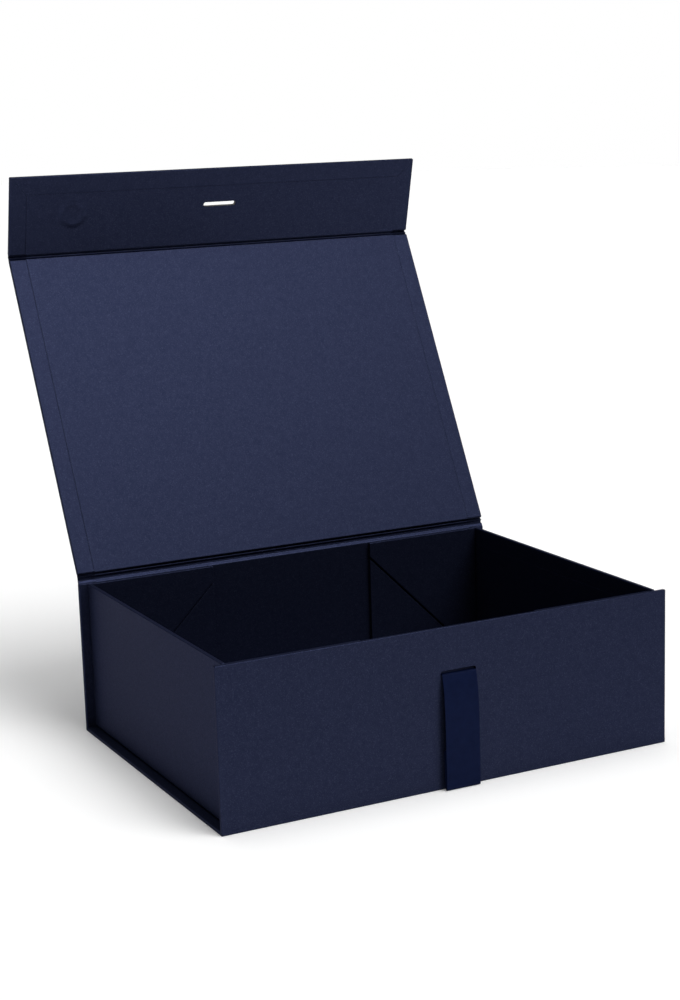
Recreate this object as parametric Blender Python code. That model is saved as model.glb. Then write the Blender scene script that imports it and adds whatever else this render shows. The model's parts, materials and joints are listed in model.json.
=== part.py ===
"""A fold-flat archival box: a magnetic-flap case of paper-covered board with folding side walls.

The box stands on its base with the lid leaning back and the flap half folded. Millimetres are turned into
metres by MM. X runs along the width, the front faces -Y, and the origin is at the middle of the underside.
"""
import math

import bmesh
import bpy
from mathutils import Matrix, Vector

MM = 0.001

# driving sizes, in millimetres
WIDTH = 330.0
DEPTH = 240.0
WALL_TOP = 107.5
PAPER = 0.2
BOARD = 2.0
GAP = 0.3
PANEL = BOARD + 2 * (PAPER + GAP)
TURN_IN = 12.5
FLAP_TURN_IN = 13.5
SIDE_INSET = 6.0
SIDE_FOOT = 4.2
GUSSET = 92.0
GUSSET_THICK = 2.4
GUSSET_TRIM = 1.5
HALF_CREASE = 0.6
TAPE = 0.2
TAPE_OUT = (10.0, 30.0)
TAPE_LOW = (60.0, 80.0)
TAPE_TOP = 95.0
AXIS_OUT = 0.2
LID_GAP = 0.4
LID_GUTTER = 2.6
LID_GUTTER_FAR = 3.5
FLAP_GUTTER = 2.5
CLOSED_GAP = 1.5
FLAP_REACH = 60.6
LID_LEAN = 27.5
FLAP_FOLD = 42.0
SLOT = (26.4, 3.4)
FRONT_SLOT = (3.0, 77.3)
FLAP_SLOT = 33.0
MAGNET_RADIUS = 9.0
MAGNET_THICK = 1.6
MAGNET_OUT = 117.0
MAGNET_UP = 31.6
RIBBON_WIDTH = 25.0
RIBBON_THICK = 0.4
RIBBON_LOW = 0.7
RIBBON_ROOT = 48.0
RIBBON_BULGE = 4.6
RIBBON_FOOT = 1.5
RIBBON_RETURN = 25.0
PATCH_WIDTH = 38.0
PATCH_SPAN = (44.0, 66.0)
RIDGE = 2.8
RIDGE_THICK = 0.6
HINGE_STRIP = 12.5

HALF_W, HALF_D = WIDTH / 2, DEPTH / 2
SIDE_OUT = HALF_W - SIDE_INSET
SIDE_IN = SIDE_OUT - PANEL
WALL_IN = HALF_D - PANEL
LOWER_FACE = WALL_IN - GAP - GUSSET_THICK
UPPER_BACK = WALL_IN - 2 * GAP - TAPE
UPPER_FACE = UPPER_BACK - GUSSET_THICK
DIAGONAL_Y = UPPER_FACE + 0.05
SIDE_END = UPPER_FACE - GAP
GUSSET_TOP = WALL_TOP - 0.4
# the closed lid lies LID_GAP over the walls, which sets the height of its hinge, and the closed flap hangs
# CLOSED_GAP in front of the front wall, which sets how long the lid is
LID_AXIS = (HALF_D + AXIS_OUT, WALL_TOP + LID_GAP + PANEL + AXIS_OUT)
LID_REACH = LID_AXIS[0] + HALF_D + CLOSED_GAP + PANEL + AXIS_OUT
SKIN_IN = PANEL - PAPER
CUT = 1.0


def clear_scene():
    for obj in list(bpy.data.objects):
        bpy.data.objects.remove(obj, do_unlink=True)


def material(name, colour, roughness, metallic=0.0):
    mat = bpy.data.materials.new(name)
    mat.use_nodes = True
    shader = mat.node_tree.nodes["Principled BSDF"]
    shader.inputs["Base Color"].default_value = (*colour, 1.0)
    shader.inputs["Roughness"].default_value = roughness
    shader.inputs["Metallic"].default_value = metallic
    mat.diffuse_color = (*colour, 1.0)
    return mat


def pivot(name, place, parent=None, turn_x=0.0):
    """An empty on a joint's axis. place is in the parent's frame, in millimetres."""
    empty = bpy.data.objects.new(name, None)
    bpy.context.scene.collection.objects.link(empty)
    empty.location = Vector(place) * MM
    empty.rotation_euler = (math.radians(turn_x), 0.0, 0.0)
    empty.parent = parent
    return empty


def put(name, bm, parent, mat):
    """Turns a bmesh drawn in millimetres into an object whose origin is its parent's."""
    bmesh.ops.recalc_face_normals(bm, faces=bm.faces)
    bmesh.ops.scale(bm, vec=(MM, MM, MM), verts=bm.verts)
    mesh = bpy.data.meshes.new(name)
    bm.to_mesh(mesh)
    bm.free()
    obj = bpy.data.objects.new(name, mesh)
    bpy.context.scene.collection.objects.link(obj)
    obj.parent = parent
    if mat:
        mesh.materials.append(mat)
    return obj


def block(low, high):
    bm = bmesh.new()
    size = Vector(high) - Vector(low)
    middle = (Vector(high) + Vector(low)) / 2
    bmesh.ops.create_cube(bm, size=1.0, matrix=Matrix.Translation(middle) @ Matrix.Diagonal((*size, 1.0)))
    return bm


def prism(outline, low, high, axis):
    """Extrudes a closed outline, given as (x, z) for axis 'Y' or (y, z) for axis 'X', from low to high."""
    bm = bmesh.new()
    spot = {"X": lambda a, b: (low, a, b), "Y": lambda a, b: (a, low, b)}[axis]
    face = bm.faces.new([bm.verts.new(spot(a, b)) for a, b in outline])
    grown = bmesh.ops.extrude_face_region(bm, geom=[face])
    moved = [v for v in grown["geom"] if isinstance(v, bmesh.types.BMVert)]
    along = (high - low, 0.0, 0.0) if axis == "X" else (0.0, high - low, 0.0)
    bmesh.ops.translate(bm, vec=along, verts=moved)
    return bm


def ring(x, z, radius, sides):
    turns = (2 * math.pi * i / sides for i in range(sides))
    return [(x + radius * math.cos(t), z + radius * math.sin(t)) for t in turns]


def stadium(x, z, wide, tall, sides=10):
    """A slot with round ends, as an outline."""
    radius = tall / 2
    reach = wide / 2 - radius
    points = []
    for side in (1, -1):
        for i in range(sides + 1):
            turn = math.pi * (i / sides - 0.5) + (0.0 if side == 1 else math.pi)
            points.append((x + side * reach + radius * math.cos(turn), z + radius * math.sin(turn)))
    return points


def cut(obj, bm, tag):
    """Takes a cutter's shape out of an object with an exact Boolean."""
    cutter = put(f"{obj.name}.{tag}", bm, obj.parent, None)
    cutter.hide_render = True
    cutter.display_type = "WIRE"
    mod = obj.modifiers.new(tag, "BOOLEAN")
    mod.object = cutter
    mod.operation = "DIFFERENCE"
    mod.solver = "EXACT"


def depth_span(outer, inward, near, far):
    """The Y span from near to far under an outer face, for a panel whose inside lies towards inward."""
    return sorted((outer + inward * near, outer + inward * far))


def upright_panel(name, parent, half, span, outer, inward, closed, look, slot=None, discs=()):
    """A covered board that stands in X and Z: its wrap, its board and its lining.

    half is half the width, span the (low, high) Z span, outer the Y of the outer face, and closed says which
    of the two ends, low and high, the wrap turns round. The closed ends have a turn-in of the length given.
    """
    low, high = span
    shut_low, shut_high = closed
    y0, y1 = depth_span(outer, inward, 0.0, PANEL)
    wrap = put(f"{name}_wrap", block((-half, y0, low), (half, y1, high)), parent, look["wrap"])
    c0, c1 = depth_span(outer, inward, PAPER, SKIN_IN)
    floor = low + PAPER if shut_low else low - CUT
    roof = high - PAPER if shut_high else high + CUT
    cut(wrap, block((-half + PAPER, c0, floor), (half - PAPER, c1, roof)), "cavity")
    w0, w1 = depth_span(outer, inward, PAPER + GAP, PANEL + CUT)
    sill = low + shut_low if shut_low else low - CUT
    head = high - shut_high if shut_high else high + CUT
    cut(wrap, block((-half + TURN_IN, w0, sill), (half - TURN_IN, w1, head)), "window")

    b0, b1 = depth_span(outer, inward, PAPER + GAP, PAPER + GAP + BOARD)
    edge = PAPER + GAP
    foot = low + edge if shut_low else low + GAP
    top = high - edge if shut_high else high - GAP
    board = put(f"{name}_board", block((-half + edge, b0, foot), (half - edge, b1, top)), parent, look["board"])

    l0, l1 = depth_span(outer, inward, SKIN_IN, PANEL)
    start = sill + GAP if shut_low else low
    stop = head - GAP if shut_high else high
    side = half - TURN_IN - GAP
    lining = put(f"{name}_lining", block((-side, l0, start), (side, l1, stop)), parent, look["lining"])

    if slot:
        x, z = slot
        s0, s1 = y0 - CUT, y1 + CUT
        for piece in (wrap, lining):
            cut(piece, prism(stadium(x, z, *SLOT), s0, s1, "Y"), "slot")
        cut(board, prism(stadium(x, z, SLOT[0] + GAP, SLOT[1] + GAP), s0, s1, "Y"), "slot")
    for i, (x, z) in enumerate(discs):
        cut(board, prism(ring(x, z, MAGNET_RADIUS + GAP, 48), b0 - CUT, b1 + CUT, "Y"), f"seat_{i}")
    return b0, b1


def disc(name, parent, x, z, span, mat):
    """A flat round magnet or steel plate, in the middle of its board's thickness."""
    middle = (span[0] + span[1]) / 2
    outline = ring(x, z, MAGNET_RADIUS, 48)
    obj = put(name, prism(outline, middle - MAGNET_THICK / 2, middle + MAGNET_THICK / 2, "Y"), parent, mat)
    obj.data.shade_smooth()
    obj.data.set_sharp_from_angle(angle=math.radians(40))


def ridge(name, parent, middle, near, mat):
    """The strip of paper that stands as a ridge between a gutter's two creases. middle is its Z in its frame."""
    low, high = middle - RIDGE / 2, middle + RIDGE / 2
    put(name, block((-HALF_W + 1, near, low), (HALF_W - 1, near + RIDGE_THICK, high)), parent, mat)


def build_base(root, look):
    y0, y1 = 0.0, PANEL
    reach = WALL_IN - GAP
    wrap = put("base_wrap", block((-HALF_W, -HALF_D + GAP, 0), (HALF_W, HALF_D - GAP, PANEL)), root, look["wrap"])
    cut(wrap, block((-HALF_W + PAPER, -HALF_D, PAPER), (HALF_W - PAPER, HALF_D, SKIN_IN)), "cavity")
    cut(wrap, block((-HALF_W + TURN_IN, -HALF_D, PAPER + GAP), (HALF_W - TURN_IN, HALF_D, y1 + CUT)), "window")
    for side, tag in ((-1, "front"), (1, "back")):
        low, high = sorted((side * reach, side * HALF_D))
        cut(wrap, block((-HALF_W - CUT, low, PAPER), (HALF_W + CUT, high, y1 + CUT)), f"{tag}_gutter")
    edge = PAPER + GAP
    board = block((-HALF_W + edge, -reach, y0 + edge), (HALF_W - edge, reach, edge + BOARD))
    put("base_board", board, root, look["board"])
    side = HALF_W - TURN_IN - GAP
    put("base_lining", block((-side, -reach, SKIN_IN), (side, reach, PANEL)), root, look["lining"])
    for side, tag in ((-1, "left"), (1, "right")):
        low, high = sorted((side * (SIDE_IN - GAP), side * (SIDE_IN - HINGE_STRIP)))
        strip = block((low, -SIDE_END, PANEL + GAP), (high, SIDE_END, PANEL + GAP + PAPER))
        put(f"{tag}_hinge_paper", strip, root, look["wrap"])


def build_side_wall(tag, side, look):
    """A side wall in its pivot's frame. The pivot is on the inner bottom edge, and side is -1 on the left."""
    axis = pivot(f"{tag}_wall_pivot", (side * SIDE_IN, 0.0, SIDE_FOOT))
    tall = WALL_TOP - SIDE_FOOT

    def box(out_low, out_high, y_low, y_high, z_low, z_high):
        x0, x1 = sorted((side * out_low, side * out_high))
        return block((x0, y_low, z_low), (x1, y_high, z_high))

    end = SIDE_END
    wrap = put(f"{tag}_wall_wrap", box(0.0, PANEL, -end, end, 0.0, tall), axis, look["wrap"])
    inner = box(PAPER, SKIN_IN, -end + PAPER, end - PAPER, PAPER, tall - PAPER)
    cut(wrap, inner, "cavity")
    window = box(-CUT, SKIN_IN - GAP, -end + TURN_IN, end - TURN_IN, TURN_IN, tall - TURN_IN)
    cut(wrap, window, "window")
    edge = PAPER + GAP
    board = box(edge, edge + BOARD, -end + edge, end - edge, edge, tall - edge)
    put(f"{tag}_wall_board", board, axis, look["board"])
    inset = TURN_IN + GAP
    lining = box(0.0, PAPER, -end + inset, end - inset, inset, tall - inset)
    put(f"{tag}_wall_lining", lining, axis, look["lining"])


def build_gusset(tag, side, face, wall, wall_at, look):
    """A wing panel in two: a lower triangle glued to the wall, and an upper panel hinged on the diagonal.

    face is +1 on the back wall and -1 on the front wall. wall is that wall's pivot, at wall_at.
    """
    foot = side * SIDE_IN
    span = GUSSET - GAP

    def place(points, near, far, origin):
        outline = [(foot - side * a - origin[0], SIDE_FOOT + b - origin[2]) for a, b in points]
        low, high = sorted((face * near - origin[1], face * far - origin[1]))
        return prism(outline, low, high, "Y")

    shift = HALF_CREASE * math.sqrt(2)
    start = shift + GUSSET_TRIM
    lower = [(start, GUSSET_TRIM), (span, span - shift), (span, GAP), (start, GAP)]
    low_bm = place(lower, LOWER_FACE, LOWER_FACE + GUSSET_THICK, wall_at)
    put(f"{tag}_gusset_lower", low_bm, wall, look["wrap"])

    origin = (foot, face * DIAGONAL_Y, SIDE_FOOT)
    axis = pivot(f"{tag}_gusset_pivot", Vector(origin) - Vector(wall_at), wall)
    top = GUSSET_TOP - SIDE_FOOT
    upper = [(-PANEL, start), (GUSSET_TRIM, start), (span, span + shift), (span, top), (-PANEL, top)]
    put(f"{tag}_gusset_upper", place(upper, UPPER_FACE, UPPER_BACK, origin), axis, look["wrap"])
    strip = [(a, b) for a, b in zip(TAPE_OUT, TAPE_LOW)] + [(a, TAPE_TOP) for a in reversed(TAPE_OUT)]
    tape_near = UPPER_BACK + GAP / 2
    put(f"{tag}_gusset_tape", place(strip, tape_near, tape_near + TAPE, wall_at), wall, look["tape"])


def ribbon_path():
    """The ribbon's centre line as (y, z) in the front wall's frame: up the inside, through the slot, down the
    front to the surface the box stands on, and folded back up behind itself."""
    inside = PANEL + GAP + RIBBON_THICK / 2
    slot_z = FRONT_SLOT[1] - RIBBON_LOW
    bend = 0.8
    points = [(inside, RIBBON_ROOT), (inside, (RIBBON_ROOT + slot_z) / 2), (inside, slot_z - bend)]
    for i in range(1, 5):
        turn = math.pi / 2 * i / 4
        points.append((inside - bend + bend * math.cos(turn), slot_z - bend + bend * math.sin(turn)))
    points.append((0.6, slot_z))
    for i in range(1, 6):
        turn = math.pi / 2 * i / 5
        points.append((-0.1 - bend * math.sin(turn), slot_z - bend + bend * math.cos(turn)))
    front_low = (-RIBBON_BULGE, RIBBON_FOOT)
    drop = slot_z - bend - front_low[1]
    for i in range(1, 13):
        along = i / 12
        points.append((-0.9 + (front_low[0] + 0.9) * along ** 2.2, front_low[1] + drop * (1 - along)))
    turn_radius = 0.9
    for i in range(1, 8):
        turn = math.pi * i / 8
        points.append((front_low[0] + turn_radius * (1 - math.cos(turn)), front_low[1] - turn_radius * math.sin(turn)))
    back_low = front_low[0] + 2 * turn_radius
    for i in range(6):
        along = i / 5
        points.append((back_low + 0.7 * along, front_low[1] + RIBBON_RETURN * along))
    return points


def build_ribbon(wall, look):
    points = ribbon_path()
    bm = bmesh.new()
    rows = []
    for i, (y, z) in enumerate(points):
        before, after = points[max(i - 1, 0)], points[min(i + 1, len(points) - 1)]
        along = Vector((after[0] - before[0], after[1] - before[1])).normalized()
        aside = Vector((-along.y, along.x)) * RIBBON_THICK / 2
        x0, x1 = FRONT_SLOT[0] - RIBBON_WIDTH / 2, FRONT_SLOT[0] + RIBBON_WIDTH / 2
        near, far = (y + aside.x, z + aside.y), (y - aside.x, z - aside.y)
        rows.append([bm.verts.new(c) for c in ((x0, *near), (x1, *near), (x1, *far), (x0, *far))])
    for one, two in zip(rows, rows[1:]):
        for i in range(4):
            j = (i + 1) % 4
            bm.faces.new((one[i], one[j], two[j], two[i]))
    bm.faces.new(rows[0])
    bm.faces.new(rows[-1])
    put("ribbon", bm, wall, look["ribbon"])
    near = PANEL + 2 * GAP + RIBBON_THICK
    x0, x1 = FRONT_SLOT[0] - PATCH_WIDTH / 2, FRONT_SLOT[0] + PATCH_WIDTH / 2
    patch = block((x0, near, PATCH_SPAN[0]), (x1, near + PAPER, PATCH_SPAN[1]))
    put("ribbon_patch", patch, wall, look["lining"])


def main():
    clear_scene()
    look = {
        "wrap": material("wrap_paper", (0.020, 0.024, 0.050), 0.5),
        "lining": material("lining_paper", (0.026, 0.032, 0.060), 0.5),
        "board": material("grey_board", (0.30, 0.29, 0.27), 0.9),
        "tape": material("adhesive_tape", (0.75, 0.72, 0.62), 0.4),
        "ribbon": material("ribbon_satin", (0.010, 0.016, 0.055), 0.45),
        "magnet": material("magnet_nickel", (0.62, 0.61, 0.60), 0.3, 1.0),
        "steel": material("steel_plate", (0.45, 0.45, 0.46), 0.4, 1.0),
    }
    root = pivot("box_root", (0.0, 0.0, 0.0))
    build_base(root, look)

    front_at = (0.0, -HALF_D, 0.0)
    front = pivot("front_wall_pivot", front_at)
    closed_z = LID_AXIS[1] - MAGNET_UP
    seats = [(side * MAGNET_OUT, closed_z) for side in (-1, 1)]
    wall_span = (PAPER + GAP, WALL_TOP)
    span = upright_panel("front_wall", front, HALF_W, wall_span, 0.0, 1, (0, TURN_IN), look, FRONT_SLOT, seats)
    for tag, (x, z) in zip(("left", "right"), seats):
        disc(f"front_plate_{tag}", front, x, z, span, look["steel"])
    build_ribbon(front, look)

    back_at = (0.0, HALF_D, 0.0)
    back = pivot("back_wall_pivot", back_at)
    upright_panel("back_wall", back, HALF_W, wall_span, 0.0, -1, (0, 0), look)

    for tag, side in (("left", -1), ("right", 1)):
        build_side_wall(tag, side, look)
        build_gusset(f"front_{tag}", side, -1, front, front_at, look)
        build_gusset(f"rear_{tag}", side, 1, back, back_at, look)

    ridge("lid_hinge_ridge", back, (WALL_TOP + LID_AXIS[1]) / 2, -0.1, look["wrap"])
    lid = pivot("lid_pivot", (0.0, LID_AXIS[0] - HALF_D, LID_AXIS[1]), back, -LID_LEAN)
    lid_span = (LID_GUTTER, LID_REACH - LID_GUTTER_FAR)
    upright_panel("lid", lid, HALF_W, lid_span, -AXIS_OUT, -1, (0, 0), look)
    ridge("flap_hinge_ridge", lid, LID_REACH - 0.5, -0.1, look["wrap"])

    flap = pivot("flap_pivot", (0.0, 0.0, LID_REACH), lid, FLAP_FOLD)
    magnets = [(side * MAGNET_OUT, MAGNET_UP) for side in (-1, 1)]
    flap_span = (FLAP_GUTTER, FLAP_REACH)
    closed = (0, FLAP_TURN_IN)
    span = upright_panel("flap", flap, HALF_W, flap_span, -AXIS_OUT, -1, closed, look, (0.0, FLAP_SLOT), magnets)
    for tag, (x, z) in zip(("left", "right"), magnets):
        disc(f"flap_magnet_{tag}", flap, x, z, span, look["magnet"])


main()
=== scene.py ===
"""A fold-flat archival box in navy pearl paper.

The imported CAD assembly, with its covering paper, linings, creased gutters and ribbon modelled finely.
Lengths are in millimetres until a mesh is made. X runs to the right, and the front wall faces -Y.
"""
import json
import math

import bmesh
import bpy
from mathutils import Matrix, Vector, noise


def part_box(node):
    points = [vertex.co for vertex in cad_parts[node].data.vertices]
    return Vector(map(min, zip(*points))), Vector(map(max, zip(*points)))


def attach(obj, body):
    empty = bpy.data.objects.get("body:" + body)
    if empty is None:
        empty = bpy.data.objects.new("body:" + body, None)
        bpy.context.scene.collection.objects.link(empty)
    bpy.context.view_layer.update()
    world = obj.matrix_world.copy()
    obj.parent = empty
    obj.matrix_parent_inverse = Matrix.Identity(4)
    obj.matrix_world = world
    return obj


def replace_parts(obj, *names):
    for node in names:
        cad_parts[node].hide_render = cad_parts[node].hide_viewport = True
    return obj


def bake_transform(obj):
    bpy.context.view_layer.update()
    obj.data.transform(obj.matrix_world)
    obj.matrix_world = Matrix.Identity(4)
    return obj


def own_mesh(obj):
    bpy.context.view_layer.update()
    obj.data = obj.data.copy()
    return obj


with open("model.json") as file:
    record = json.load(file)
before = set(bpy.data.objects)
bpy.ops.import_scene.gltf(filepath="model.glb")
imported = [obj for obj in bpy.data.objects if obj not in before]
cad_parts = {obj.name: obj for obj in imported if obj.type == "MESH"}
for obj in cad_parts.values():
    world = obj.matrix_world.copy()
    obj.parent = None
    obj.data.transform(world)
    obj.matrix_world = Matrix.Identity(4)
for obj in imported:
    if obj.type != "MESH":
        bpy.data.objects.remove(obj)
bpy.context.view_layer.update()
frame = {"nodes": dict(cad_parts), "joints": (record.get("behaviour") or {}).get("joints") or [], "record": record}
MM = 0.001
nodes = frame["nodes"]


def box_mm(node):
    low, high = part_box(node)
    return low / MM, high / MM


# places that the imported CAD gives
front_low, front_high = box_mm("front_wall_wrap")
left_low, left_high = box_mm("left_wall_wrap")
HALF_W = front_high.x
WALL_FOOT, WALL_TOP = front_low.z, front_high.z
FRONT_OUT, FRONT_IN = front_low.y, front_high.y
BACK_OUT = box_mm("back_wall_wrap")[1].y
SIDE_OUT, SIDE_IN = -left_low.x, -left_high.x
SIDE_FOOT = left_low.z
BASE_REACH = box_mm("base_board")[1].y
BASE_TOP = box_mm("base_lining")[1].z
PATCH_LOW, PATCH_HIGH = box_mm("ribbon_patch")
RIBBON_X = (PATCH_LOW.x + PATCH_HIGH.x) / 2
axes = {j["name"]: Vector(j["pos_m"]) / MM for j in frame["joints"]}
LID_AXIS, FLAP_AXIS = axes["lid_hinge"], axes["flap_hinge"]
lid_line = FLAP_AXIS - LID_AXIS
LID_LEAN = math.atan2(lid_line.y, lid_line.z)
LID_REACH = lid_line.length

# the lid and flap: the fold between them, the flap's height, and where the gutters end on each panel
FLAP_FOLD = math.radians(42.0)
FLAP_LEAN = LID_LEAN - FLAP_FOLD
FLAP_HIGH = 60.6
LID_GUTTER, LID_GUTTER_FAR, FLAP_GUTTER = 2.6, 3.5, 2.5
# board and paper: thicknesses, the covered board's rounded edge, and how far the covering paper turns in
PANEL = 3.0
COVER = PANEL - 0.15
COVER_PAPER = 0.28
OUTER_SKIN = 0.2
INNER_FACE = -OUTER_SKIN - COVER
LINING = 0.2
EDGE = 0.6
TURN_IN = 12.5
FLAP_TURN_IN = 13.5
LINING_HALF = HALF_W - TURN_IN - 0.3
# how far a crease's paper stands proud of the panel that it covers
PROUD = 0.03
# the wings in the corners: height and width, thickness, and the gap along the diagonal
GUSSET = 91.7
GUSSET_THICK = 2.4
GUSSET_GAP = 1.5
# the slots, the magnets in the flap and the ribbon
SLOT_WIDE, SLOT_TALL = 26.4, 3.4
FRONT_SLOT_Z, FLAP_SLOT_Z = 77.3, 33.0
MAGNET_OUT, MAGNET_UP = 117.0, 31.6
LEFT_BUMP, RIGHT_BUMP = 0.8, 0.25
RIBBON_HALF = 12.5
RIBBON_THICK = 0.4
RIBBON_TOP = FRONT_SLOT_Z - 0.7


def smoothstep(low, high, x):
    t = min(1.0, max(0.0, (x - low) / (high - low)))
    return t * t * (3.0 - 2.0 * t)


def spread(low, high, step):
    """Evenly spaced values from low to high, no more than step apart."""
    count = max(1, math.ceil((high - low) / step))
    return [low + (high - low) * i / count for i in range(count + 1)]


# ---------------------------------------------------------------- materials
def add_node(mat, kind, **inputs):
    node = mat.node_tree.nodes.new(kind)
    for name, value in inputs.items():
        node.inputs[name.replace("_", " ")].default_value = value
    return node


def new_material(name, colour, roughness, metallic=0.0):
    mat = bpy.data.materials.new(name)
    mat.use_nodes = True
    shader = mat.node_tree.nodes["Principled BSDF"]
    shader.inputs["Base Color"].default_value = (*colour, 1.0)
    shader.inputs["Roughness"].default_value = roughness
    shader.inputs["Metallic"].default_value = metallic
    return mat, shader


def blend_colours(mat, factor, one, two):
    """A colour mix. one and two are colours or sockets."""
    mix = mat.node_tree.nodes.new("ShaderNodeMix")
    mix.data_type = "RGBA"
    mat.node_tree.links.new(factor, mix.inputs["Factor"])
    for value, socket in ((one, mix.inputs[6]), (two, mix.inputs[7])):
        if isinstance(value, bpy.types.NodeSocket):
            mat.node_tree.links.new(value, socket)
        else:
            socket.default_value = (*value, 1.0)
    return mix.outputs[2]


def remap(mat, value, low, high, to_low, to_high):
    node = add_node(mat, "ShaderNodeMapRange", From_Min=low, From_Max=high, To_Min=to_low, To_Max=to_high)
    mat.node_tree.links.new(value, node.inputs["Value"])
    return node.outputs["Result"]


def noise_at(mat, where, scale, detail=3.0, roughness=0.5):
    node = add_node(mat, "ShaderNodeTexNoise", Scale=scale, Detail=detail, Roughness=roughness)
    mat.node_tree.links.new(where, node.inputs["Vector"])
    return node.outputs["Fac"]


def bump(mat, height, depth, strength, onto=None):
    node = add_node(mat, "ShaderNodeBump", Strength=strength, Distance=depth)
    mat.node_tree.links.new(height, node.inputs["Height"])
    if onto is not None:
        mat.node_tree.links.new(onto, node.inputs["Normal"])
    return node.outputs["Normal"]


def pearl_paper(name, dark, light, fleck, roughness=0.42, metallic=0.6):
    """Coated paper with a fine pearl: soft clouds in the pulp, small bright flecks and a faint tooth."""
    mat, shader = new_material(name, light, roughness, metallic)
    shader.inputs["Specular IOR Level"].default_value = 0.05
    shader.inputs["Specular Tint"].default_value = (0.38, 0.38, 0.42, 1.0)
    link = mat.node_tree.links.new
    where = mat.node_tree.nodes.new("ShaderNodeTexCoord").outputs["Object"]
    clouds = noise_at(mat, where, 240.0, 4.0, 0.6)
    colour = blend_colours(mat, remap(mat, clouds, 0.3, 0.7, 0.0, 1.0), dark, light)
    for scale, start, amount in ((1900.0, 0.80, 0.40), (3600.0, 0.72, 0.30)):
        cells = add_node(mat, "ShaderNodeTexVoronoi", Scale=scale)
        link(where, cells.inputs["Vector"])
        split = mat.node_tree.nodes.new("ShaderNodeSeparateColor")
        link(cells.outputs["Color"], split.inputs["Color"])
        colour = blend_colours(mat, remap(mat, split.outputs["Red"], start, 1.0, 0.0, amount), colour, fleck)
    link(colour, shader.inputs["Base Color"])
    tooth = noise_at(mat, where, 1500.0, 2.0, 0.55)
    link(remap(mat, tooth, 0.3, 0.7, roughness - 0.06, roughness + 0.06), shader.inputs["Roughness"])
    felt = bump(mat, noise_at(mat, where, 520.0, 3.0, 0.6), 0.00006, 0.25)
    link(bump(mat, tooth, 0.00004, 0.5, felt), shader.inputs["Normal"])
    return mat


def raw_board(name):
    mat, shader = new_material(name, (0.3, 0.29, 0.27), 0.9)
    link = mat.node_tree.links.new
    where = mat.node_tree.nodes.new("ShaderNodeTexCoord").outputs["Object"]
    pulp = noise_at(mat, where, 700.0, 6.0, 0.7)
    mottle = remap(mat, pulp, 0.35, 0.65, 0.0, 1.0)
    colour = blend_colours(mat, mottle, (0.21, 0.2, 0.185), (0.36, 0.35, 0.32))
    specks = remap(mat, noise_at(mat, where, 1700.0, 1.0), 0.68, 0.74, 0.0, 0.7)
    link(blend_colours(mat, specks, colour, (0.09, 0.1, 0.13)), shader.inputs["Base Color"])
    link(bump(mat, pulp, 0.00015, 0.6), shader.inputs["Normal"])
    return mat


def release_tape(name):
    mat, shader = new_material(name, (0.72, 0.69, 0.6), 0.42)
    link = mat.node_tree.links.new
    where = mat.node_tree.nodes.new("ShaderNodeTexCoord").outputs["Object"]
    fibre = noise_at(mat, where, 260.0, 5.0, 0.65)
    link(blend_colours(mat, fibre, (0.66, 0.63, 0.54), (0.78, 0.76, 0.68)), shader.inputs["Base Color"])
    link(bump(mat, fibre, 0.00008, 0.4), shader.inputs["Normal"])
    return mat


def plated_metal(name, colour, roughness, scratch_scale):
    mat, shader = new_material(name, colour, roughness, 1.0)
    link = mat.node_tree.links.new
    where = mat.node_tree.nodes.new("ShaderNodeTexCoord").outputs["Object"]
    stretch = add_node(mat, "ShaderNodeMapping", Scale=(scratch_scale, scratch_scale, scratch_scale * 0.04))
    link(where, stretch.inputs["Vector"])
    marks = noise_at(mat, stretch.outputs["Vector"], 1.0, 4.0, 0.7)
    link(remap(mat, marks, 0.3, 0.7, roughness * 0.7, roughness * 1.4), shader.inputs["Roughness"])
    link(bump(mat, marks, 0.00002, 0.5), shader.inputs["Normal"])
    return mat


def ribbed_ribbon(name, dark, light):
    """Ribbon with fine weft ribs across it. The ribs follow Z, along which the ribbon hangs."""
    mat, shader = new_material(name, light, 0.5)
    shader.inputs["Specular IOR Level"].default_value = 0.03
    shader.inputs["Sheen Weight"].default_value = 0.015
    shader.inputs["Sheen Roughness"].default_value = 0.4
    shader.inputs["Sheen Tint"].default_value = (0.2, 0.35, 0.9, 1.0)
    link = mat.node_tree.links.new
    where = mat.node_tree.nodes.new("ShaderNodeTexCoord").outputs["Object"]
    ribs = add_node(mat, "ShaderNodeTexWave", Scale=560.0, Distortion=0.35, Detail=2.0, Detail_Scale=1.5)
    ribs.bands_direction = "Z"
    link(where, ribs.inputs["Vector"])
    threads = add_node(mat, "ShaderNodeTexWave", Scale=950.0, Distortion=0.6, Detail=1.0)
    threads.bands_direction = "X"
    link(where, threads.inputs["Vector"])
    cloud = noise_at(mat, where, 160.0, 4.0, 0.6)
    colour = blend_colours(mat, remap(mat, cloud, 0.3, 0.7, 0.0, 1.0), dark, light)
    # painted shade: the base colour is darkened in the valleys between the ribs, where the rib bump is lowest
    painted_rib_valley_shade = remap(mat, ribs.outputs["Fac"], 0.0, 0.5, 0.4, 0.0)
    link(blend_colours(mat, painted_rib_valley_shade, colour, dark), shader.inputs["Base Color"])
    rib_bump = bump(mat, ribs.outputs["Fac"], 0.00006, 0.6)
    link(bump(mat, threads.outputs["Fac"], 0.00003, 0.4, rib_bump), shader.inputs["Normal"])
    return mat


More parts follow.
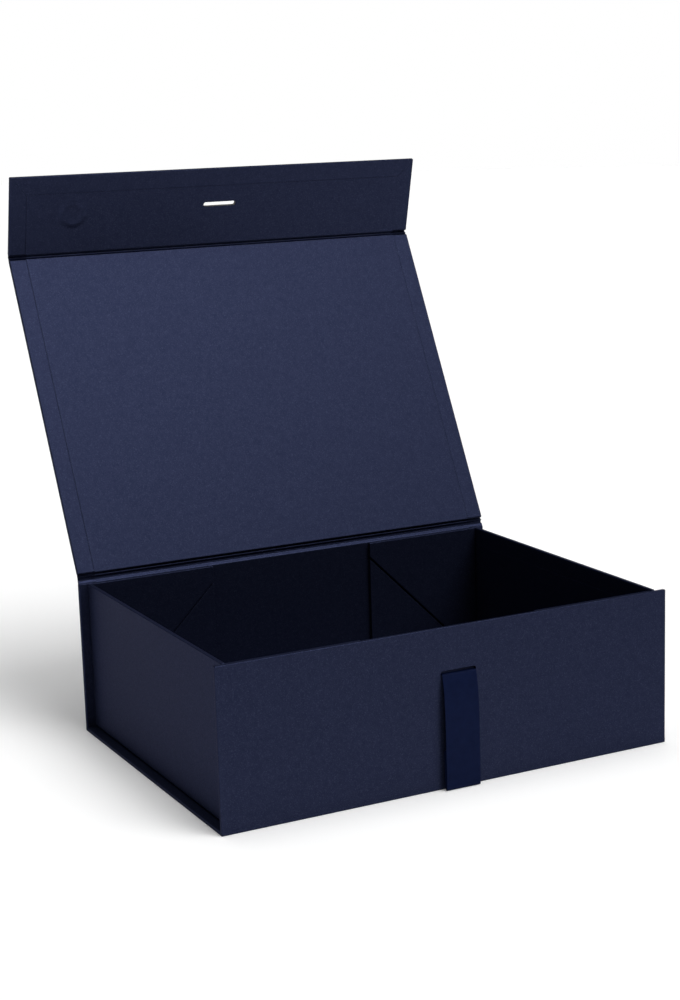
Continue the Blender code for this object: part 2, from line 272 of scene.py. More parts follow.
NAVY = {
    "dark": (0.0142, 0.0182, 0.0425),
    "light": (0.0178, 0.0223, 0.0502),
    "fleck": (0.0460, 0.0540, 0.1040),
}
LOOK = {
    "wrap_paper": pearl_paper("pearl_wrap", **NAVY),
    "lining_paper": pearl_paper("pearl_lining", **NAVY),
    "grey_board": raw_board("raw_grey_board"),
    "adhesive_tape": release_tape("release_paper"),
    "magnet_nickel": plated_metal("nickel_plate", (0.62, 0.61, 0.60), 0.28, 2600.0),
    "steel_plate": plated_metal("mill_steel", (0.45, 0.45, 0.46), 0.4, 1800.0),
    "ribbon_satin": ribbed_ribbon("ribbed_ribbon", (0.0030, 0.0064, 0.0275), (0.0044, 0.0088, 0.0363)),
}


# ---------------------------------------------------------------- mesh making
def tilted(origin, lean):
    """A panel's frame, leaning back by lean about X through origin: Y is its depth and Z its height."""
    return Matrix.Translation(origin) @ Matrix.Rotation(-lean, 4, "X")


LID = tilted(LID_AXIS, LID_LEAN)
FLAP = tilted(FLAP_AXIS, FLAP_LEAN)


def lid(n, v):
    """The (y, z) of a place on the lid: n out from the line through its hinge and v up along that line."""
    p = LID @ Vector((0.0, n, v))
    return p.y, p.z


def lid_far(n, w):
    """The same, with w counted from the lid's far end."""
    return lid(n, LID_REACH + w)


def flap(n, a):
    """The same on the flap, with a counted from the flap's hinge."""
    p = FLAP @ Vector((0.0, n, a))
    return p.y, p.z


def make_piece(name, bm, slot, where=None, weighted=True):
    """Turns a bmesh in millimetres, in the frame where, into a smooth-shaded piece with its slot's look."""
    bm.transform(Matrix.Diagonal((MM, MM, MM, 1.0)) @ (where or Matrix.Identity(4)))
    mesh = bpy.data.meshes.new(name)
    bm.to_mesh(mesh)
    bm.free()
    for polygon in mesh.polygons:
        polygon.use_smooth = True
    mesh.set_sharp_from_angle(angle=math.radians(50.0))
    obj = bpy.data.objects.new(name, mesh)
    bpy.context.scene.collection.objects.link(obj)
    mesh.materials.append(LOOK[slot])
    if weighted:
        mod = obj.modifiers.new("weighted_normals", "WEIGHTED_NORMAL")
        mod.keep_sharp = True
        mod.weight = 100
    return obj


def cube(bm, low, high):
    size = Vector(high) - Vector(low)
    middle = (Vector(high) + Vector(low)) / 2
    place = Matrix.Translation(middle) @ Matrix.Diagonal((*size, 1.0))
    return bmesh.ops.create_cube(bm, size=1.0, matrix=place)["verts"]


def soften(bm, edges, radius, segments):
    bmesh.ops.bevel(bm, geom=edges, offset=radius, segments=segments, profile=0.5, affect="EDGES")


def hollow(bm, low, high):
    """Adds a box that faces inward, so that bm becomes a closed shell round it."""
    faces = list({f for v in cube(bm, low, high) for f in v.link_faces})
    bmesh.ops.recalc_face_normals(bm, faces=faces)
    bmesh.ops.reverse_faces(bm, faces=faces)


def flat_sheet(name, low, high):
    """A flat sheet of lining paper between two corners."""
    bm = bmesh.new()
    cube(bm, low, high)
    soften(bm, bm.edges[:], 0.07, 2)
    return make_piece(name, bm, "lining_paper")


def face_loop(bm, one, two):
    """Joins two closed rings of vertices of the same length and returns the faces."""
    count = len(one)
    return [bm.faces.new((one[i], one[(i + 1) % count], two[(i + 1) % count], two[i])) for i in range(count)]


def cut_out(bm, cutter):
    """Takes a cutter bmesh out of bm with an exact Boolean and returns the result."""
    pair = []
    for part in (bm, cutter):
        mesh = bpy.data.meshes.new("cutting")
        part.to_mesh(mesh)
        part.free()
        obj = bpy.data.objects.new("cutting", mesh)
        bpy.context.scene.collection.objects.link(obj)
        pair.append(obj)
    mod = pair[0].modifiers.new("cut", "BOOLEAN")
    mod.object = pair[1]
    mod.operation = "DIFFERENCE"
    mod.solver = "EXACT"
    bpy.context.view_layer.update()
    graph = bpy.context.evaluated_depsgraph_get()
    result = bmesh.new()
    result.from_mesh(pair[0].evaluated_get(graph).to_mesh())
    for obj in pair:
        mesh = obj.data
        bpy.data.objects.remove(obj, do_unlink=True)
        bpy.data.meshes.remove(mesh)
    return result


def extrude_outline(outline, low, high):
    """A closed outline of (x, z) points, extruded along Y from low to high."""
    bm = bmesh.new()
    face = bm.faces.new([bm.verts.new((x, low, z)) for x, z in outline])
    grown = bmesh.ops.extrude_face_region(bm, geom=[face])
    moved = [v for v in grown["geom"] if isinstance(v, bmesh.types.BMVert)]
    bmesh.ops.translate(bm, vec=(0.0, high - low, 0.0), verts=moved)
    bmesh.ops.recalc_face_normals(bm, faces=bm.faces)
    return bm


def stadium(x, z, wide, tall, sides=16):
    """The outline of a slot with round ends, about (x, z)."""
    radius = tall / 2
    out = wide / 2 - radius
    points = []
    for side in (1, -1):
        for i in range(sides + 1):
            turn = math.pi * (i / sides - 0.5) + (0.0 if side == 1 else math.pi)
            points.append((x + side * out + radius * math.cos(turn), z + radius * math.sin(turn)))
    return points


def add_sleeve(bm, slot_at, low, high, thick=0.25):
    """The paper turned through a slot, which hides the board's cut edge."""
    rings = []
    for extra, y in ((0.0, low), (0.0, high), (2 * thick, high), (2 * thick, low)):
        outline = stadium(*slot_at, SLOT_WIDE + extra, SLOT_TALL + extra)
        rings.append([bm.verts.new((x, y, z)) for x, z in outline])
    faces = []
    for one, two in zip(rings, rings[1:] + rings[:1]):
        faces += face_loop(bm, one, two)
    bmesh.ops.recalc_face_normals(bm, faces=faces)


def bar(bm, start, end, y, out, half, rim, crest):
    """A three-sided bar from start to end in X and Z, on a face at depth y that looks along Y times out.

    half is half its width, and rim and crest are how far its sides and its middle line stand off the face.
    """
    a, b = Vector(start), Vector(end)
    aside = Vector((-(b - a).y, (b - a).x)).normalized() * half
    rings = []
    for p in (a, b):
        corners = [(p + aside, rim), (p, crest), (p - aside, rim)]
        rings.append([bm.verts.new((c.x, y + out * d, c.y)) for c, d in corners])
    faces = face_loop(bm, *rings)
    faces += [bm.faces.new(ring) for ring in rings]
    bmesh.ops.recalc_face_normals(bm, faces=faces)


def pressed_line(bm, start, end, y, out, deep):
    """Cuts a narrow line into a face and returns the result."""
    groove = bmesh.new()
    bar(groove, start, end, y, out, 0.28, 0.1, -deep)
    return cut_out(bm, groove)


def covered_board(name, low, high, slot_at=None, mitres=(), lines=(), looks=1, where=None, deep=0.1):
    """A board's covering paper: a shell with softly rounded edges, and the board shut inside it.

    mitres are the ends (x, z, x, z) of the folded corners' seams, on the face that looks along Y times
    looks. lines are the ends of the lines pressed there beside the lining's edges, as deep as deep says.
    """
    bm = bmesh.new()
    cube(bm, low, high)
    soften(bm, bm.edges[:], EDGE, 4)
    bmesh.ops.recalc_face_normals(bm, faces=bm.faces)
    hollow(bm, [a + COVER_PAPER for a in low], [b - COVER_PAPER for b in high])
    if slot_at:
        tunnel = extrude_outline(stadium(*slot_at, SLOT_WIDE, SLOT_TALL), low[1] - 1.0, high[1] + 1.0)
        bm = cut_out(bm, tunnel)
        add_sleeve(bm, slot_at, low[1] + 0.1, high[1] - 0.1)
    face = high[1] if looks > 0 else low[1]
    for x0, z0, x1, z1 in lines:
        bm = pressed_line(bm, (x0, z0), (x1, z1), face, looks, deep)
    for x0, z0, x1, z1 in mitres:
        bar(bm, (x0, z0), (x1, z1), face, looks, 0.35, -0.05, 0.12)
    return make_piece(name, bm, "wrap_paper", where)


def rounded_path(points, steps=5):
    """Rounds an open path. Each point is (a, b, radius), and the rounding starts radius away from it."""
    out = [Vector(points[0][:2])]
    for before, here, after in zip(points, points[1:], points[2:]):
        p, radius = Vector(here[:2]), here[2]
        a, b = Vector(before[:2]) - p, Vector(after[:2]) - p
        if radius <= 0.0:
            out.append(p)
            continue
        start = p + a.normalized() * min(radius, a.length * 0.49)
        stop = p + b.normalized() * min(radius, b.length * 0.49)
        for i in range(steps + 1):
            t = i / steps
            out.append(start * (1 - t) ** 2 + p * (2 * t * (1 - t)) + stop * t * t)
    out.append(Vector(points[-1][:2]))
    return out


def divided(path, step):
    """The path with points added, so that none are more than step apart."""
    out = [path[0]]
    for a, b in zip(path, path[1:]):
        count = max(1, math.ceil((b - a).length / step))
        out += [a + (b - a) * i / count for i in range(1, count + 1)]
    return out


def left_normals(path):
    """The direction to the left of the path at each point."""
    out = []
    for i in range(len(path)):
        along = (path[min(i + 1, len(path) - 1)] - path[max(i - 1, 0)]).normalized()
        out.append(Vector((-along.y, along.x)))
    return out


def solid_from_grids(tops, bottoms):
    """A closed body between two grids of points of the same size."""
    bm = bmesh.new()
    top = [[bm.verts.new(p) for p in row] for row in tops]
    bottom = [[bm.verts.new(p) for p in row] for row in bottoms]
    rows, columns = len(top), len(top[0])
    for i in range(rows - 1):
        for j in range(columns - 1):
            bm.faces.new((top[i][j], top[i][j + 1], top[i + 1][j + 1], top[i + 1][j]))
            bm.faces.new((bottom[i][j], bottom[i + 1][j], bottom[i + 1][j + 1], bottom[i][j + 1]))
    for i in range(rows - 1):
        for j in (0, columns - 1):
            bm.faces.new((top[i][j], top[i + 1][j], bottom[i + 1][j], bottom[i][j]))
    for j in range(columns - 1):
        for i in (0, rows - 1):
            bm.faces.new((top[i][j], top[i][j + 1], bottom[i][j + 1], bottom[i][j]))
    bmesh.ops.recalc_face_normals(bm, faces=bm.faces)
    return bm


def swept_sheet(path, xs, relief=None):
    """Lining paper on the left of a (y, z) path, across xs. relief(x, i) adds height at the i-th point."""
    tops, bottoms = [], []
    for i, (p, n) in enumerate(zip(path, left_normals(path))):
        up = [LINING + (relief(x, i) if relief else 0.0) for x in xs]
        tops.append([(x, p.x + n.x * h, p.y + n.y * h) for x, h in zip(xs, up)])
        bottoms.append([(x, p.x, p.y) for x in xs])
    return solid_from_grids(tops, bottoms)


def swept_section(outline, xs, waver):
    """A closed (y, z) outline swept along X, with a slight waver where points are free to move."""
    bm = bmesh.new()
    rows = []
    for x in xs:
        row = []
        for i, (y, z) in enumerate(outline):
            shake = waver * noise.noise(Vector((x * 0.05, i * 0.35, 3.7)))
            row.append(bm.verts.new((x, y + shake, z)))
        rows.append(row)
    for one, two in zip(rows, rows[1:]):
        face_loop(bm, one, two)
    bm.faces.new(rows[0])
    bm.faces.new(rows[-1])
    bmesh.ops.recalc_face_normals(bm, faces=bm.faces)
    return bm


# ---------------------------------------------------------------- the covered panels
def corner_seams(top, turn_in):
    """Ends of the two mitred folds under a panel's top corners."""
    return [(s * (HALF_W - EDGE), top - EDGE, s * (HALF_W - TURN_IN), top - turn_in) for s in (-1, 1)]


def build_panels():
    half, top = HALF_W, WALL_TOP
    base = covered_board("base_cover", (-half, -BASE_REACH - 0.3, 0.0), (half, BASE_REACH + 0.3, COVER))
    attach(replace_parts(base, "base_wrap"), "base")
    corners = (-LINING_HALF, -BASE_REACH, COVER), (LINING_HALF, BASE_REACH, COVER + LINING)
    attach(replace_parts(flat_sheet("base_inner_lining", *corners), "base_lining"), "base")

    front = covered_board("front_wall_cover", (-half, FRONT_OUT, WALL_FOOT), (half, FRONT_OUT + COVER, top),
                          (RIBBON_X, FRONT_SLOT_Z), corner_seams(top, TURN_IN))
    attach(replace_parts(front, "front_wall_wrap"), "front_wall")
    back = covered_board("back_wall_cover", (-half, BACK_OUT - COVER, WALL_FOOT), (half, BACK_OUT, top))
    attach(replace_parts(back, "back_wall_wrap"), "back_wall")

    near, far = LID_GUTTER, LID_REACH - LID_GUTTER_FAR
    edge = LINING_HALF + 0.3
    lines = [(s * edge, near - 1.0, s * edge, far + 1.0) for s in (-1, 1)]
    cover = covered_board("lid_cover", (-half, INNER_FACE, near), (half, -OUTER_SKIN, far), lines=lines,
                          looks=-1, where=LID, deep=0.16)
    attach(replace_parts(cover, "lid_wrap"), "lid")
    stop = FLAP_HIGH - FLAP_TURN_IN + 0.3
    lines = [(s * edge, FLAP_GUTTER - 1.0, s * edge, stop) for s in (-1, 1)] + [(-edge, stop, edge, stop)]
    cover = covered_board("flap_cover", (-half, INNER_FACE, FLAP_GUTTER), (half, -OUTER_SKIN, FLAP_HIGH),
                          (0.0, FLAP_SLOT_Z), corner_seams(FLAP_HIGH, FLAP_TURN_IN), lines,
                          looks=-1, where=FLAP)
    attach(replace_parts(cover, "flap_wrap"), "flap")

    for tag, side in (("left", -1), ("right", 1)):
        build_side_wall(tag, side)


def build_side_wall(tag, side):
    """A side wall. Its covering paper closes the upright corners, where it runs on into the wings."""
    end = -FRONT_IN - 0.6
    x0, x1 = sorted((side * (SIDE_IN + PANEL - COVER), side * SIDE_OUT))
    bm = bmesh.new()
    cube(bm, (x0, -end, SIDE_FOOT), (x1, end, WALL_TOP))
    upright = [e for e in bm.edges if abs(e.verts[0].co.z - e.verts[1].co.z) > 1.0
               and abs(e.verts[0].co.x) > SIDE_OUT - 0.1]
    soften(bm, upright, 1.5, 6)
    soften(bm, [e for e in bm.edges if e.calc_face_angle(0.0) > math.radians(40)], 0.5, 3)
    bmesh.ops.recalc_face_normals(bm, faces=bm.faces)
    low, high = box_mm(f"{tag}_wall_board")
    board_gap = 0.15
    hollow(bm, [a - board_gap for a in low], [b + board_gap for b in high])
    cover = make_piece(f"{tag}_wall_cover", bm, "wrap_paper")
    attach(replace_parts(cover, f"{tag}_wall_wrap"), f"{tag}_wall")

    low, high = box_mm(f"{tag}_wall_lining")
    x0, x1 = sorted((side * (SIDE_IN - 0.05), side * (SIDE_IN + PANEL - COVER)))
    lining = flat_sheet(f"{tag}_wall_inner_lining", (x0, low.y, low.z), (x1, high.y, high.z))
    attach(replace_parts(lining, f"{tag}_wall_lining"), f"{tag}_wall")


# ---------------------------------------------------------------- the lid's gutter and lining
def lid_gutter_inner():
    """The gutter's inner line, from the back wall's top edge up to the lid: a ridge between two grooves."""
    b, t = BACK_OUT, WALL_TOP
    return [
        (b - 2.5, t + 0.3), (b - 1.55, t + 1.9), (b - 0.1, t + 2.3), (b + 0.15, t + 3.5),
        (b - 1.25, t + 4.95), (b + 0.5, t + 5.2), (b + 0.85, t + 5.85),
        lid(-1.6, 2.22), lid(-2.7, 2.3),
    ]


def flap_gutter_inner():
    """The same at the flap: from the lid's far edge to the flap's near edge."""
    return [
        lid_far(-2.6, -3.25), lid_far(-1.8, -3.2), lid_far(-1.15, -2.75), lid_far(-1.9, -2.2),
        lid_far(-2.45, -1.7), lid_far(-1.9, -1.2), lid_far(-1.2, -0.55),
        flap(-0.8, 0.9), flap(-1.35, 2.05), flap(-2.6, 2.2),
    ]


def build_lid_gutter():
    b, t = BACK_OUT, WALL_TOP
    inner = lid_gutter_inner()
    outer = [
        (b - 0.3, t - 3.0), (b + PROUD, t - 3.0), (b + PROUD, t - 0.3), (b + 0.1, t + 0.8),
        (b + 0.3, t + 2.2), (b + 0.55, t + 3.7), (b + 0.85, t + 4.9), (b + 1.15, t + 5.7),
        lid(-0.17, 2.7), lid(-0.17, 5.0), lid(-0.45, 5.0), lid(-0.45, 2.62), lid(-2.6, 2.62), lid(-2.8, 2.47),
    ]
    under = [(b - 2.45, t), (b - 2.1, t - 0.1), (b - 0.8, t - 0.2), (b - 0.5, t - 1.5)]
    outline = outer + inner[::-1] + under
    bm = swept_section(outline, spread(-HALF_W + 0.3, HALF_W - 0.3, 5.0), 0.12)
    paper = make_piece("lid_gutter_paper", bm, "wrap_paper")
    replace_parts(paper, "lid_hinge_ridge")
    hinge_blend(paper)

    far = LID_REACH - LID_GUTTER_FAR
    points = [(b - COVER, 6.0, 0.0), (b - COVER, t + 0.1, 0.8)]
    points += [(y, z, 0.35) for y, z in inner[:-1]] + [(*inner[-1], 0.2)]
    points += [(*lid(INNER_FACE, 2.35), 0.5), (*lid(INNER_FACE, far + 0.12), 0.5),
               (*lid(INNER_FACE + 0.9, far + 0.16), 0.0)]
    path = divided(rounded_path(points), 12.0)
    bm = swept_sheet(path, spread(-LINING_HALF, LINING_HALF, 6.0))
    lining = make_piece("back_and_lid_lining", bm, "lining_paper")
    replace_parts(lining, "lid_lining", "back_wall_lining")
    hinge_blend(lining)


def hinge_blend(piece):
    """Bakes a lid gutter piece's transform into its mesh."""
    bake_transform(piece)


def flap_blend(piece):
    """Bakes a flap gutter piece's transform into its mesh."""
    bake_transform(piece)


def build_flap_gutter():
    inner = flap_gutter_inner()
    outer = [
        lid_far(-0.45, -6.0), lid_far(-0.17, -6.0), lid_far(-0.17, -3.4), lid_far(-0.5, -2.2),
        lid_far(-0.3, -0.5), flap(-0.3, 0.5), flap(-0.5, 1.5), flap(-0.17, 2.6),
        flap(-0.17, 5.0), flap(-0.45, 5.0), flap(-0.45, 2.52), flap(-2.6, 2.52), flap(-2.8, 2.36),
    ]
    under = [lid_far(-2.8, -3.37), lid_far(-2.6, -3.52), lid_far(-0.45, -3.52)]
    outline = outer + inner[::-1] + under
    bm = swept_section(outline, spread(-HALF_W + 0.3, HALF_W - 0.3, 5.0), 0.1)
    paper = make_piece("flap_gutter_paper", bm, "wrap_paper")
    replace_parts(paper, "flap_hinge_ridge")
    flap_blend(paper)

    points = [(*lid_far(-1.9, -3.2), 0.0)] + [(y, z, 0.35) for y, z in inner[2:-1]] + [(*inner[-1], 0.2)]
    points += [(*flap(INNER_FACE, 2.22), 0.5), (*flap(INNER_FACE, FLAP_HIGH - FLAP_TURN_IN), 0.0)]
    path = divided(rounded_path(points), 1.2)
    heights = [(FLAP.inverted() @ Vector((0.0, p.x, p.y))).z for p in path]

    def relief(x, i):
        """A slight unevenness, and the magnets' bumps: round, with a shallow dip in the middle."""
        if heights[i] < 6.0:
            return 0.0
        rise = 0.02 * noise.noise(Vector((x * 0.04, heights[i] * 0.06, 1.3)))
        for side, tall in ((-1, LEFT_BUMP), (1, RIGHT_BUMP)):
            r = math.hypot(x - side * MAGNET_OUT, heights[i] - MAGNET_UP)
            rise += tall * (1.0 - smoothstep(8.4, 10.8, r)) - 0.3 * tall * (1.0 - smoothstep(5.6, 7.6, r))
        return rise

    bm = swept_sheet(path, spread(-LINING_HALF, LINING_HALF, 1.6), relief)
    bm.transform(FLAP.inverted())
    slot = stadium(0.0, FLAP_SLOT_Z, SLOT_WIDE, SLOT_TALL)
    bm = cut_out(bm, extrude_outline(slot, -6.0, 1.0))
    lining = make_piece("flap_inner_lining", bm, "lining_paper", FLAP, weighted=False)
    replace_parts(lining, "flap_lining")
    flap_blend(lining)


# ---------------------------------------------------------------- creases at the tray's foot
def bent_paper(name, slot, path, ends, thick, place):
    """Paper on the left of a path. place(p, e) gives the point for the path's point p at e, one of ends."""
    outer = [[place(p + n * thick, e) for e in ends] for p, n in zip(path, left_normals(path))]
    inner = [[place(p, e) for e in ends] for p in path]
    return make_piece(name, solid_from_grids(outer, inner), slot)


def build_foot_creases(tag, face, out):
    """The covering paper round a wall's foot and the lining in the inner corner.

    face is -1 for the front wall and 1 for the back wall, and out is the Y of the wall's outer face.
    """
    reach = abs(out)

    def place(p, x):
        return x, face * p.x, p.y

    points = [(BASE_REACH - 3.0, PROUD, 0.0), (reach + PROUD, 0.0, 0.7), (reach + PROUD, 3.2, 0.0)]
    path = divided(rounded_path(points, 8), 0.8)
    xs = spread(-HALF_W + 0.25, HALF_W - 0.25, 30.0)
    crease = bent_paper(f"{tag}_foot_crease_paper", "wrap_paper", path, xs, 0.22, place)
    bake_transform(crease)

    inside, floor = reach - COVER, BASE_TOP + 0.03
    points = [(BASE_REACH - 9.0, floor, 0.0), (inside - 0.25, floor, 1.1), (inside - 0.25, 15.0, 0.0)]
    path = divided(rounded_path(points, 10), 1.2)
    xs = spread(-LINING_HALF + 0.4, LINING_HALF - 0.4, 30.0)
    fold = bent_paper(f"{tag}_foot_lining", "lining_paper", path, xs, 0.18, place)
    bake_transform(fold)


def build_side_crease(tag, side):
    """The paper hinge at a side wall's inner foot."""
    low, high = box_mm(f"{tag}_hinge_paper")
    inside = SIDE_IN - 0.04
    end = high.y - 2.5
    points = [(SIDE_IN - 12.4, low.z, 0.0), (inside, low.z, 1.0), (inside, SIDE_FOOT + 12.0, 0.0)]
    path = divided(rounded_path(points, 10), 1.5)
    crease = bent_paper(f"{tag}_crease_paper", "wrap_paper", path, spread(-end, end, 30.0), LINING,
                        lambda p, y: (side * p.x, y, p.y))
    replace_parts(crease, f"{tag}_hinge_paper")
    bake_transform(crease)


def build_front_lining():
    y = FRONT_OUT + COVER
    xs = spread(-LINING_HALF, LINING_HALF, 3.0)
    zs = spread(5.0, box_mm("front_wall_lining")[1].z, 3.0)

    def height(x, z):
        """The lining's thickness with a very slight unevenness of the glue."""
        return LINING + 0.01 * noise.noise(Vector((x * 0.05, z * 0.05, 9.0)))

    tops = [[(x, y + height(x, z), z) for x in xs] for z in zs]
    bottoms = [[(x, y, z) for x in xs] for z in zs]
    bm = solid_from_grids(tops, bottoms)
    slot = stadium(RIBBON_X, FRONT_SLOT_Z, SLOT_WIDE, SLOT_TALL)
    bm = cut_out(bm, extrude_outline(slot, y - 1.0, y + 2.0))
    lining = make_piece("front_wall_inner_lining", bm, "lining_paper", weighted=False)
    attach(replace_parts(lining, "front_wall_lining"), "front_wall")


# ---------------------------------------------------------------- wings
def build_wing(tag, side, face, wall):
    """A corner's wing: a part glued to the wall, a part that folds on the diagonal, and the crease between.

    side is -1 on the left and face is -1 at the front. The front wings end a little lower, out of sight.
    """
    body = f"{tag}_gusset"
    foot = SIDE_IN - 0.25
    top = WALL_TOP - (0.65 if face < 0 else 0.05)
    diagonal = GUSSET * math.sqrt(2)
    shift = GUSSET_GAP * math.sqrt(2) / 2
    lower_face = -FRONT_IN - 0.3 - GUSSET_THICK
    upper_face = lower_face - 0.5
    far = -FRONT_IN - 0.08

    def plate(points, near):
        outline = [(side * (foot - a), SIDE_FOOT + b) for a, b in points]
        y0, y1 = sorted((face * near, face * far))
        bm = extrude_outline(outline, y0, y1)
        soften(bm, bm.edges[:], 0.28, 3)
        bmesh.ops.recalc_face_normals(bm, faces=bm.faces)
        return bm

    lower = [(shift + 1.4, 0.4), (shift + 1.4, 1.3), (GUSSET, GUSSET - shift), (GUSSET, 0.4)]
    glued = make_piece(f"{tag}_wing_lower", plate(lower, lower_face), "lining_paper")
    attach(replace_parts(glued, f"{tag}_gusset_lower"), wall)
    upper = [(0.0, shift + 1.4), (1.2, shift + 1.4), (GUSSET, GUSSET + shift),
             (GUSSET, top - SIDE_FOOT), (0.0, top - SIDE_FOOT)]
    folding = make_piece(f"{tag}_wing_upper", plate(upper, upper_face), "lining_paper")
    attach(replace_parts(folding, f"{tag}_gusset_upper"), body)

    along = Vector((-side, 0.0, 1.0)).normalized()
    across = Vector((side, 0.0, 1.0)).normalized()
    start = Vector((side * foot, 0.0, SIDE_FOOT))
    floor = lower_face + 1.2
    profile = [(-1.7, lower_face - 0.08, 0.0), (-0.75, lower_face + 0.02, 0.3), (-0.35, floor, 0.35),
               (0.35, floor, 0.35), (0.75, upper_face + 0.02, 0.3), (1.7, upper_face - 0.08, 0.0)]

    def spot(p, u):
        q = start + along * u + across * p.x
        return q.x, face * p.y, q.z

    crease = bent_paper(f"{tag}_wing_crease", "lining_paper", rounded_path(profile, 4),
                        spread(3.0, diagonal - 2.7, 12.0), 0.16, spot)
    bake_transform(crease)


# ---------------------------------------------------------------- the ribbon
def ribbon_outside():
    """The ribbon's line as (depth from the wall's outer face, z): out of the slot, down and back up."""
    z = RIBBON_TOP
    points = [(1.5, z, 0.0), (-0.9, z - 0.02, 0.9), (-1.6, z - 3.0, 2.5), (-3.2, z - 12.0, 7.0),
              (-4.2, z - 26.0, 12.0), (-4.53, z - 50.0, 14.0), (-4.53, 2.4, 1.2), (-4.45, 0.42, 0.75),
              (-3.1, 0.42, 0.75), (-2.75, 2.6, 1.2), (-2.35, 14.0, 6.0), (-1.7, 26.5, 0.0)]
    return divided(rounded_path(points, 7), 1.2)


def ribbon_inside():
    """The ribbon's end, up the wall's inner face and into the slot."""
    y = PANEL + 0.55
    return divided(rounded_path([(y, 48.0, 0.0), (y, RIBBON_TOP, 0.9), (1.5, RIBBON_TOP, 0.0)], 7), 1.5)


def path_length(path):
    return sum((b - a).length for a, b in zip(path, path[1:]))


def build_ribbon_part(name, path):
    """A length of ribbon along a path, with corded selvedges and a faint ripple that dies out at its ends."""
    normals = left_normals(path)
    xs = spread(-RIBBON_HALF, RIBBON_HALF, 0.8)
    tops, bottoms = [], []
    for i, (p, n) in enumerate(zip(path, normals)):
        top_row, bottom_row = [], []
        for x in xs:
            share = abs(x) / RIBBON_HALF
            cord = 0.06 * smoothstep(0.93, 0.985, share)
            ripple = 0.10 * noise.noise(Vector((x * 0.10, i * 0.11, 5.0)))
            bow = ripple * smoothstep(0.0, 6.0, min(i, len(path) - 1 - i))
            half = RIBBON_THICK / 2 + cord - 0.14 * smoothstep(0.985, 1.0, share)
            mid = p + n * bow
            for row, d in ((top_row, half), (bottom_row, -half)):
                q = mid + n * d
                row.append((RIBBON_X + x, FRONT_OUT + q.x, q.y))
        tops.append(top_row)
        bottoms.append(bottom_row)
    return make_piece(name, solid_from_grids(tops, bottoms), "ribbon_satin", weighted=False)


def build_ribbon():
    path = ribbon_outside()
    ribbon = build_ribbon_part("ribbon_tab", path)
    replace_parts(ribbon, "ribbon")
    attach(ribbon, "front_wall")
    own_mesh(ribbon)
    flat = (2 * RIBBON_HALF * MM, path_length(path) * MM)
    inside = ribbon_inside()
    tail = build_ribbon_part("ribbon_tail", inside)
    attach(tail, "front_wall")
    flat = (2 * RIBBON_HALF * MM, path_length(inside) * MM)
    build_ribbon_patch()


def build_ribbon_patch():
    xs, zs = spread(PATCH_LOW.x, PATCH_HIGH.x, 1.0), spread(PATCH_LOW.z, PATCH_HIGH.z, 1.0)
    wall = FRONT_IN + 0.02

    def lift(x, z):
        """The patch lies on the lining at its edges and over the ribbon's end in its middle."""
        side = 1.0 - smoothstep(RIBBON_HALF - 0.2, RIBBON_HALF + 2.2, abs(x - RIBBON_X))
        foot = smoothstep(46.0, 48.2, z)
        return 0.95 * side * foot + 0.06

    tops = [[(x, wall + lift(x, z) + 0.18, z) for x in xs] for z in zs]
    bottoms = [[(x, wall + lift(x, z), z) for x in xs] for z in zs]
    patch = make_piece("ribbon_end_patch", solid_from_grids(tops, bottoms), "lining_paper", weighted=False)
    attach(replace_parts(patch, "ribbon_patch"), "front_wall")


# ---------------------------------------------------------------- carried-over CAD nodes
def dress_cad_nodes():
    """Gives the CAD nodes that stay visible their slots' materials."""
    slots = {row["node"]: row["material_slot"] for row in frame["record"]["subparts"]}
    for name, obj in nodes.items():
        if obj.hide_render:
            continue
        obj.data.materials.clear()
        obj.data.materials.append(LOOK[slots[name]])


# ---------------------------------------------------------------- floor, light and camera
# far soft boxes: name, azimuth and elevation in degrees, how wide each looks in degrees, and strength
SUNS = [
    ("top_box", 0.0, 88.0, 40.0, 0.6),
    ("key_box", 30.0, 62.0, 35.0, 1.35),
    ("low_box", 30.0, 45.0, 35.0, 0.55),
    ("right_box", 80.0, 65.0, 45.0, 0.45),
    ("rear_box", 180.0, 70.0, 40.0, 0.55),
    ("left_box", -75.0, 48.0, 50.0, 0.22),
]
# near panels: name, place, point that it faces, size and power
PANELS = [
    ("left_panel", (-0.75, -0.85, 0.15), (-0.05, -0.1, 0.1), (0.5, 0.3), 0.45),
]
FLOOR_RADIUS = 9000.0
FLOOR_Z = -0.05


def direction(azimuth, elevation):
    """The direction to a place at an azimuth and elevation in degrees. Azimuth 0 is in front of the box."""
    a, e = math.radians(azimuth), math.radians(elevation)
    return Vector((math.sin(a) * math.cos(e), -math.cos(a) * math.cos(e), math.sin(e)))


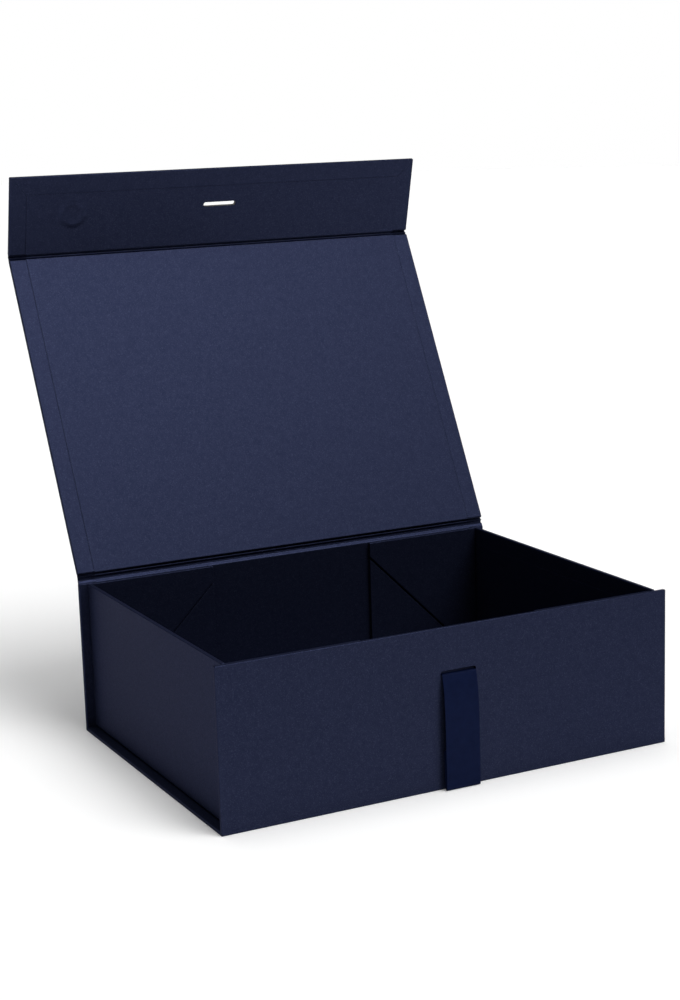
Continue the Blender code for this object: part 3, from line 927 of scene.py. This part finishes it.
def build_stage():
    bm = bmesh.new()
    bmesh.ops.create_circle(bm, cap_ends=True, segments=96, radius=FLOOR_RADIUS)
    bm.transform(Matrix.Diagonal((MM, MM, MM, 1.0)) @ Matrix.Translation((0.0, 0.0, FLOOR_Z)))
    mesh = bpy.data.meshes.new("floor")
    bm.to_mesh(mesh)
    bm.free()
    floor = bpy.data.objects.new("floor", mesh)
    bpy.context.scene.collection.objects.link(floor)
    mat, shader = new_material("pale_floor", (0.94, 0.94, 0.94), 0.85)
    shader.inputs["Emission Color"].default_value = (1.0, 1.0, 1.0, 1.0)
    shader.inputs["Emission Strength"].default_value = 0.1
    mesh.materials.append(mat)

    world = bpy.data.worlds.new("studio")
    bpy.context.scene.world = world
    world.use_nodes = True
    world.node_tree.nodes["Background"].inputs["Color"].default_value = (1.0, 1.0, 1.0, 1.0)
    world.cycles_visibility.diffuse = world.cycles_visibility.glossy = False

    for name, azimuth, elevation, width, strength in SUNS:
        lamp = bpy.data.lights.new(name, "SUN")
        lamp.angle = math.radians(width)
        lamp.energy = strength
        add_lamp(lamp, direction(azimuth, elevation))
    for name, place, target, size, power in PANELS:
        lamp = bpy.data.lights.new(name, "AREA")
        lamp.shape = "RECTANGLE"
        lamp.size, lamp.size_y = size
        lamp.energy = power
        obj = add_lamp(lamp, Vector(place) - Vector(target))
        obj.location = place
        obj.visible_camera = False


def add_lamp(lamp, back):
    """Puts a lamp in the scene, shining against the direction back."""
    obj = bpy.data.objects.new(lamp.name, lamp)
    obj.rotation_mode = "QUATERNION"
    obj.rotation_quaternion = back.to_track_quat("Z", "Y")
    bpy.context.scene.collection.objects.link(obj)
    return obj


def build_camera():
    """The photograph's view: the camera looks along -back, and aside and lift place it across that line."""
    azimuth, elevation, roll = -27.609, 11.868, math.radians(-1.567)
    aside, lift, distance = -0.00038, -0.16472, 1.38161
    back = direction(azimuth, elevation)
    right = direction(azimuth + 90.0, 0.0)
    up = back.cross(right)
    c, s = math.cos(roll), math.sin(roll)
    right, up = right * c + up * s, up * c - right * s
    turn = Matrix((right, up, back)).transposed()
    camera = bpy.data.cameras.new("camera")
    camera.sensor_width = 36.0
    camera.sensor_fit = "AUTO"
    camera.lens = 71.267
    camera.shift_x = -0.03
    camera.clip_start, camera.clip_end = 0.05, 50.0
    obj = bpy.data.objects.new("camera", camera)
    obj.matrix_world = turn.to_4x4()
    obj.location = turn @ Vector((-aside, -lift, distance))
    bpy.context.scene.collection.objects.link(obj)
    bpy.context.scene.camera = obj
    bpy.context.scene.view_settings.view_transform = "Standard"


build_camera()
build_panels()
build_lid_gutter()
build_flap_gutter()
build_front_lining()
for wall_tag, wall_face, wall_out in (("front", -1, FRONT_OUT), ("back", 1, BACK_OUT)):
    build_foot_creases(wall_tag, wall_face, wall_out)
for side_tag, side_sign in (("left", -1), ("right", 1)):
    build_side_crease(side_tag, side_sign)
    build_wing(f"front_{side_tag}", side_sign, -1, "front_wall")
    build_wing(f"rear_{side_tag}", side_sign, 1, "back_wall")
build_ribbon()
dress_cad_nodes()
build_stage()
